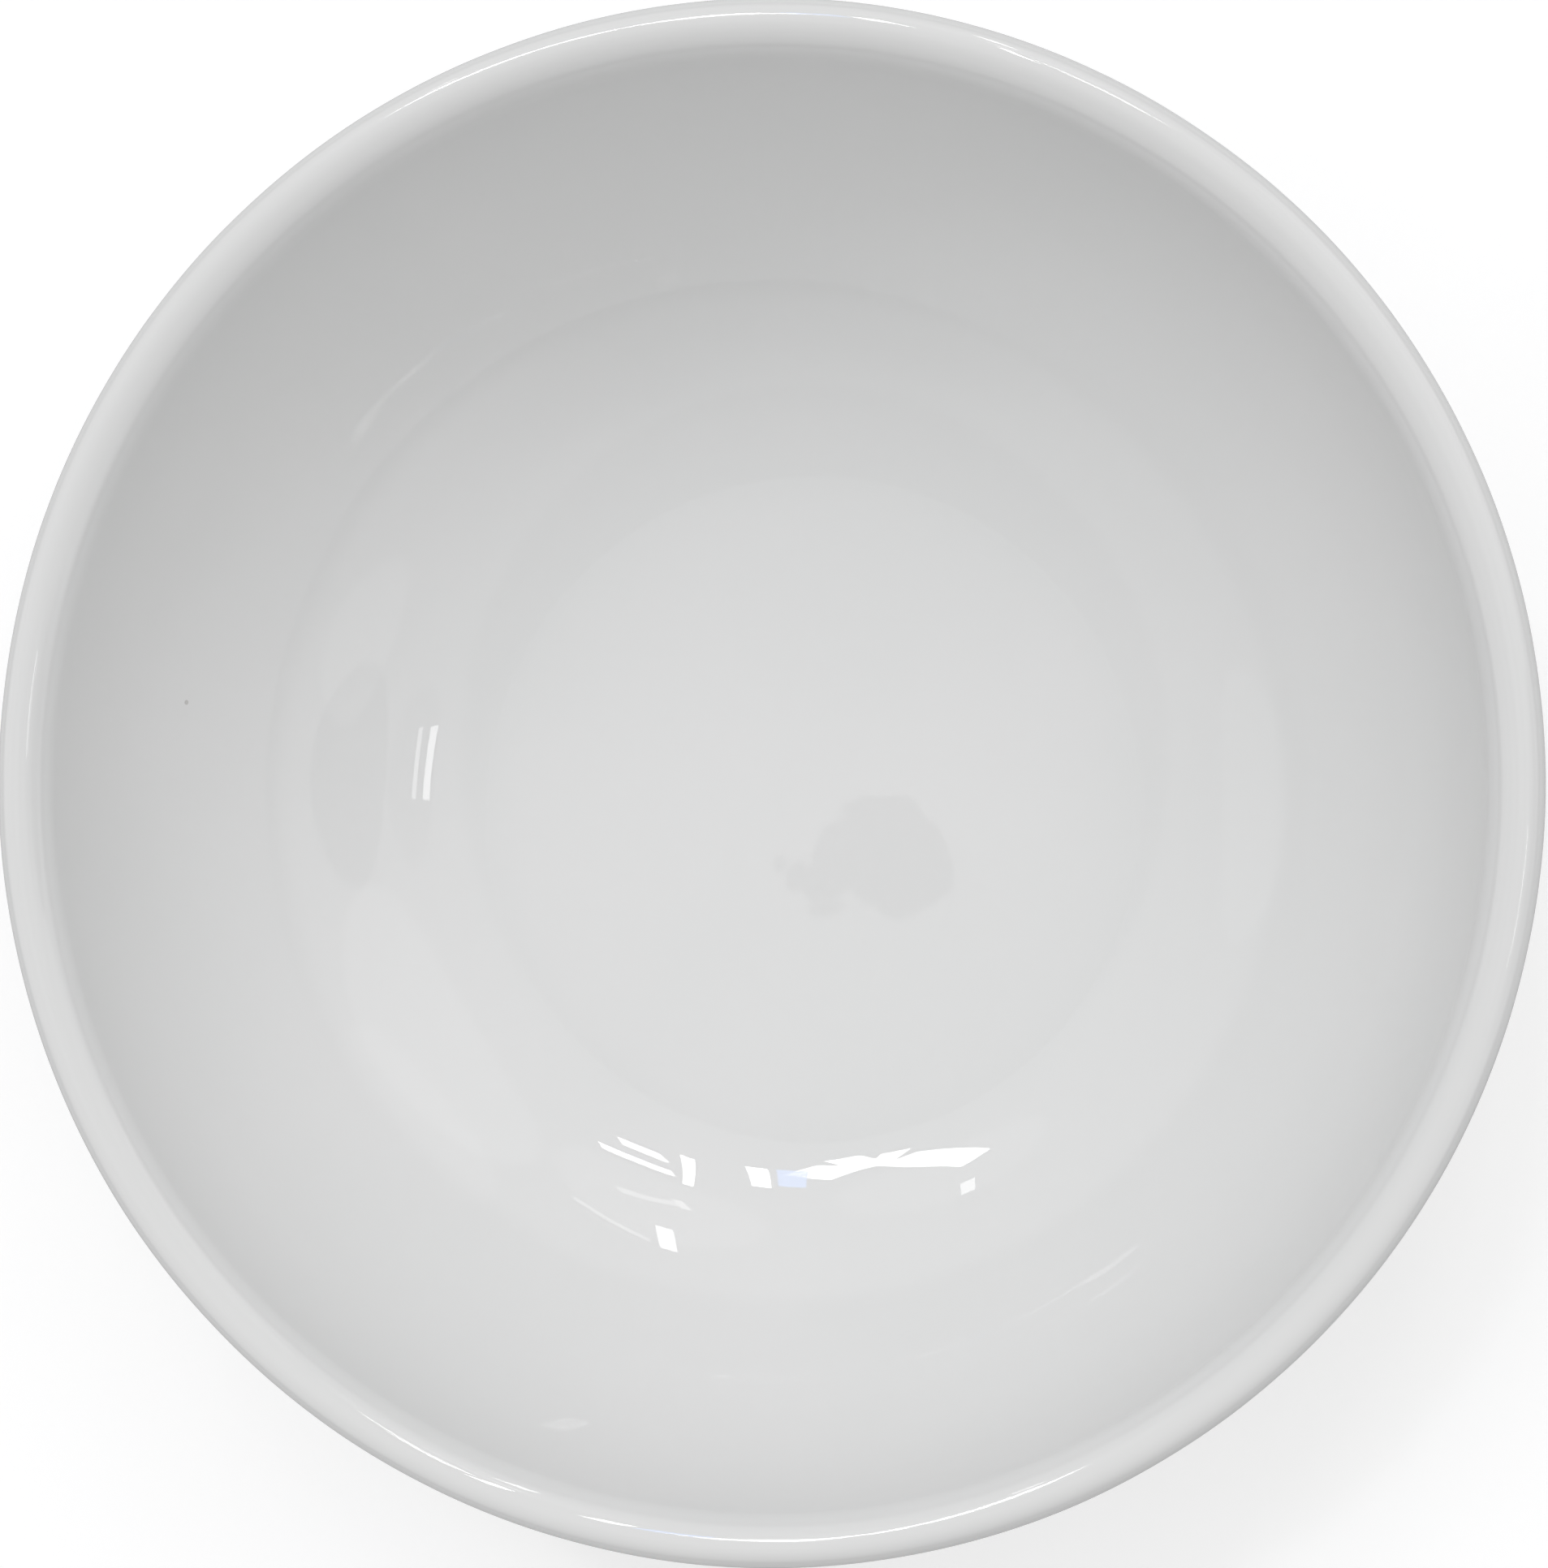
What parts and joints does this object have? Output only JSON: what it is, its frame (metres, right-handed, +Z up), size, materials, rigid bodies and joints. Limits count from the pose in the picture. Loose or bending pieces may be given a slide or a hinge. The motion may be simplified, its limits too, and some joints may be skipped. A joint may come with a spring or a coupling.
{
  "type": "evaporating dish",
  "caption": "Round white glazed porcelain evaporating dish with a plain rounded rim, curved wall, flat round well and low bare foot ring.",
  "frame": {"origin": "centre of the foot ring's resting plane", "axes": "+Z up the dish's axis of revolution, towards the rim; X and Y lie in the resting plane, and the dish is the same all the way round"},
  "size_m": [0.1, 0.1, 0.0333],
  "materials": {
    "porcelain": "unglazed, fine matt grain",
    "glaze": "high gloss"
  },
  "bodies": {
    "root": {"dish_body": "porcelain", "glaze_coat": "glaze", "underside_glaze": "glaze"}
  },
  "joints": []
}
